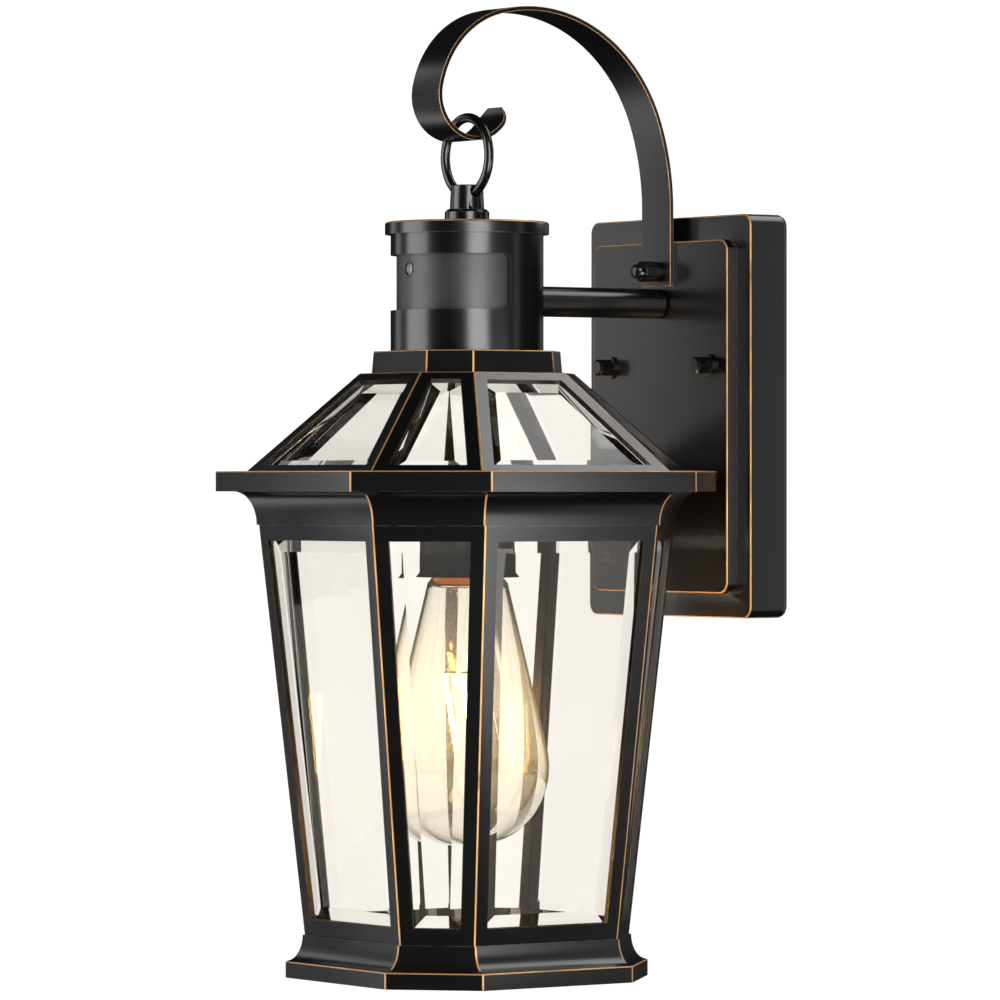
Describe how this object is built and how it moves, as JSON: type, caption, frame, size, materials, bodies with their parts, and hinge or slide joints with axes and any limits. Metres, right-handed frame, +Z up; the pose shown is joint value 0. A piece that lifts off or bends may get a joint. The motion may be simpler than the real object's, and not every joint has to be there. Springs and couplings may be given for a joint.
{
  "type": "outdoor wall lantern",
  "caption": "Eight-sided glazed outdoor wall lantern hung by an arm and hook from a wall plate, with a round motion-sensor housing on top.",
  "frame": {"origin": "centre of the wall plate's back, on the face of its gasket that rests on the wall", "axes": "+Y points into the wall, -Y out into the open air where the lantern hangs, +Z up, +X to the right of a person who faces the wall"},
  "size_m": [0.1828, 0.2149, 0.4031],
  "materials": {
    "black_metal": "satin black powder coat, rubbed copper at the edges",
    "gasket_foam": "matt closed-cell foam",
    "zinc_steel": "zinc plated",
    "ground_green": "green dyed",
    "sensor_plastic": "glossy smoked",
    "board_green": "solder mask",
    "sensor_can": "plated can",
    "module_plastic": "moulded",
    "pane_glass": "clear, bevelled",
    "socket_ceramic": "unglazed",
    "socket_brass": "stamped",
    "lead_insulation": "insulation",
    "bulb_glass": "faint amber",
    "cap_brass": "copper toned",
    "cap_insulator": "vitrite",
    "contact_solder": "solder",
    "wire_nickel": "drawn wire",
    "filament_glow": "glowing"
  },
  "bodies": {
    "lantern": {"wall_plate": "black_metal", "wall_gasket": "gasket_foam", "crossbar": "zinc_steel", "crossbar_studs": "zinc_steel", "stud_nuts": "zinc_steel", "ground_screw": "ground_green", "hook_strap": "black_metal", "hook_nut": "zinc_steel", "arm_tube": "black_metal", "arm_nuts": "zinc_steel", "sensor_housing": "black_metal", "sensor_lens": "sensor_plastic", "photocell": "sensor_plastic", "sensor_board": "board_green", "motion_sensor": "sensor_can", "driver_module": "module_plastic", "top_cap": "black_metal", "stem": "black_metal", "stem_nut": "zinc_steel", "roof_collar": "black_metal", "roof_frame": "black_metal", "roof_pane_1": "pane_glass", "roof_pane_2": "pane_glass", "roof_pane_3": "pane_glass", "roof_pane_4": "pane_glass", "roof_pane_5": "pane_glass", "roof_pane_6": "pane_glass", "roof_pane_7": "pane_glass", "roof_pane_8": "pane_glass", "eave_moulding": "black_metal", "body_frame": "black_metal", "body_pane_1": "pane_glass", "body_pane_2": "pane_glass", "body_pane_3": "pane_glass", "body_pane_4": "pane_glass", "body_pane_5": "pane_glass", "body_pane_6": "pane_glass", "body_pane_7": "pane_glass", "body_pane_8": "pane_glass", "pane_clips": "zinc_steel", "base_moulding": "black_metal", "frame_screws": "zinc_steel", "threaded_nipple": "zinc_steel", "nipple_nuts": "zinc_steel", "socket_cup": "black_metal", "socket_body": "socket_ceramic", "socket_shell": "socket_brass", "socket_contact": "socket_brass", "inner_leads": "lead_insulation"},
    "ring": {"hanging_ring": "black_metal"},
    "cap_nut_left_body": {"cap_nut_left": "black_metal"},
    "cap_nut_right_body": {"cap_nut_right": "black_metal"},
    "hook_screw_body": {"hook_screw": "black_metal"},
    "bulb": {"bulb_glass": "bulb_glass", "bulb_cap": "cap_brass", "bulb_insulator": "cap_insulator", "bulb_contact": "contact_solder", "bulb_stem": "bulb_glass", "support_wires": "wire_nickel", "filaments": "filament_glow"}
  },
  "joints": [
    {"name": "ring_swing", "type": "hinge", "parent": "lantern", "child": "ring", "pos_m": [0, -0.1235, 0.0916], "axis": [1, 0, 0], "range_deg": [-6, 13]},
    {"name": "cap_nut_left_turn", "type": "hinge", "parent": "lantern", "child": "cap_nut_left_body", "pos_m": [-0.03492, -0.03, 0.0215], "axis": [0, 1, 0], "continuous": true},
    {"name": "cap_nut_right_turn", "type": "hinge", "parent": "lantern", "child": "cap_nut_right_body", "pos_m": [0.03492, -0.03, 0.0215], "axis": [0, 1, 0], "continuous": true},
    {"name": "hook_screw_turn", "type": "hinge", "parent": "lantern", "child": "hook_screw_body", "pos_m": [0, -0.03, 0.0616], "axis": [0, 1, 0], "continuous": true},
    {"name": "bulb_removal", "type": "slide", "parent": "lantern", "child": "bulb", "axis": [0, 0, -1], "range_m": [0, 0.2]}
  ]
}
